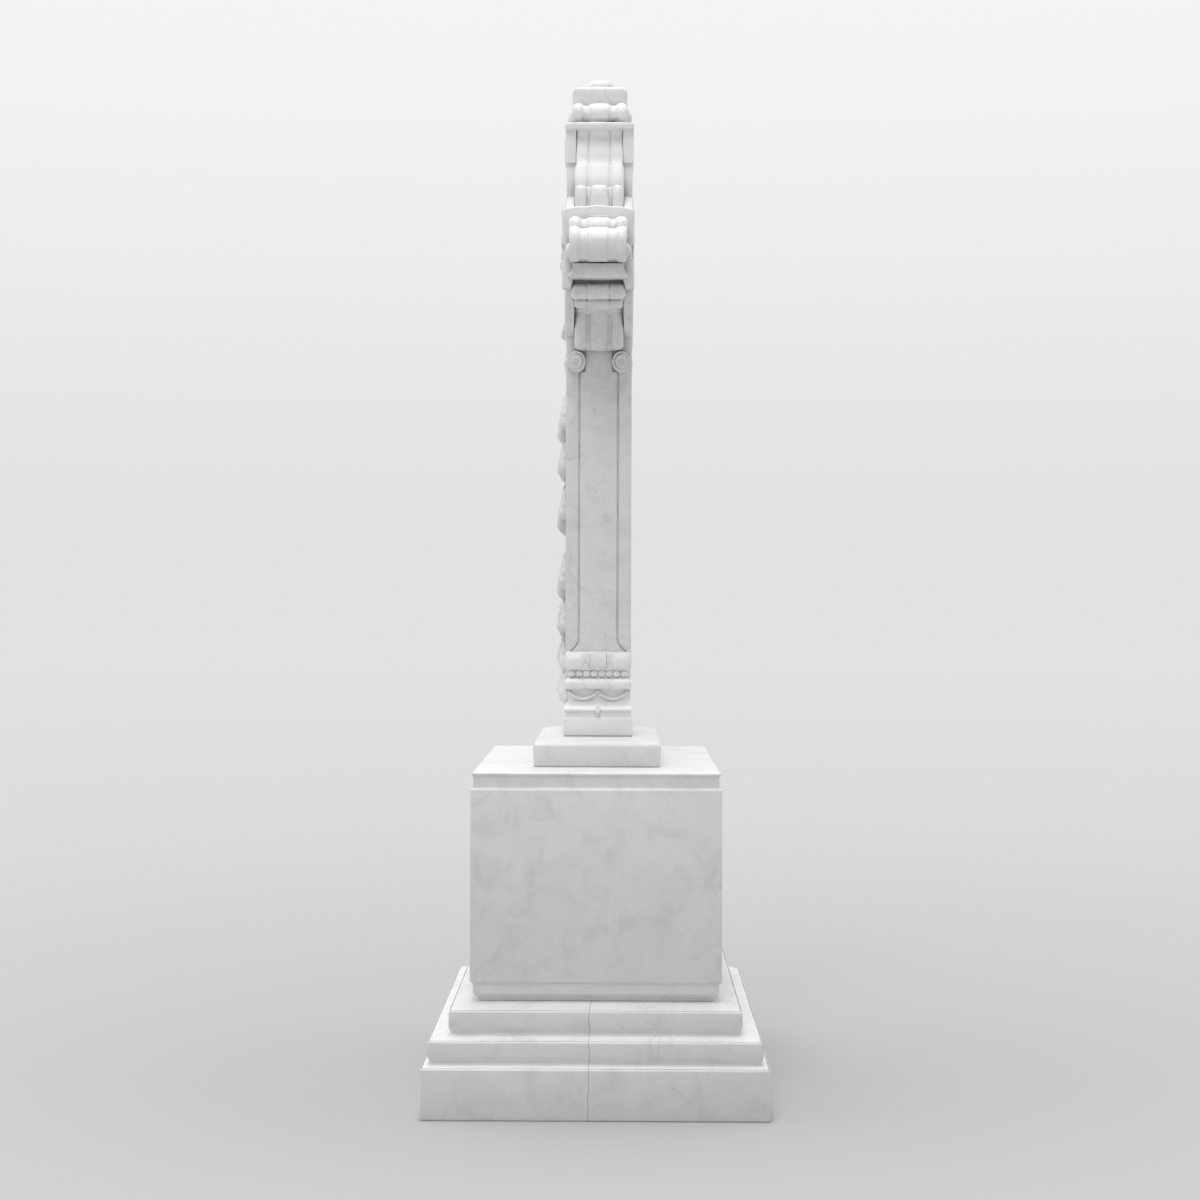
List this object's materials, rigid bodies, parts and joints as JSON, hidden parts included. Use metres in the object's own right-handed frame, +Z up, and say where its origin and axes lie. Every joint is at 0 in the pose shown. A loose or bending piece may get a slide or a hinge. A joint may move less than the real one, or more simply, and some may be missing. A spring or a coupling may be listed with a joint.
{
  "type": "ringed cross memorial",
  "caption": "Carved marble ringed cross with scrolled arm ends and a leaf spray, standing on a slab, a plain block and a stepped base.",
  "frame": {"origin": "middle of the base's underside", "axes": "+Z up, -Y the carved front, the arms along X"},
  "size_m": [0.68, 0.513, 1.6],
  "materials": {
    "base_marble": "honed white marble with faint grey clouds and a hairline vein",
    "block_marble": "honed white marble with faint grey clouds",
    "slab_marble": "honed white marble with faint grey clouds",
    "cross_marble": "carved and rubbed white marble with faint grey clouds"
  },
  "bodies": {
    "root": {"stepped_base": "base_marble", "die_block": "block_marble", "cross_slab": "slab_marble", "ring_cross": "cross_marble"}
  },
  "joints": []
}
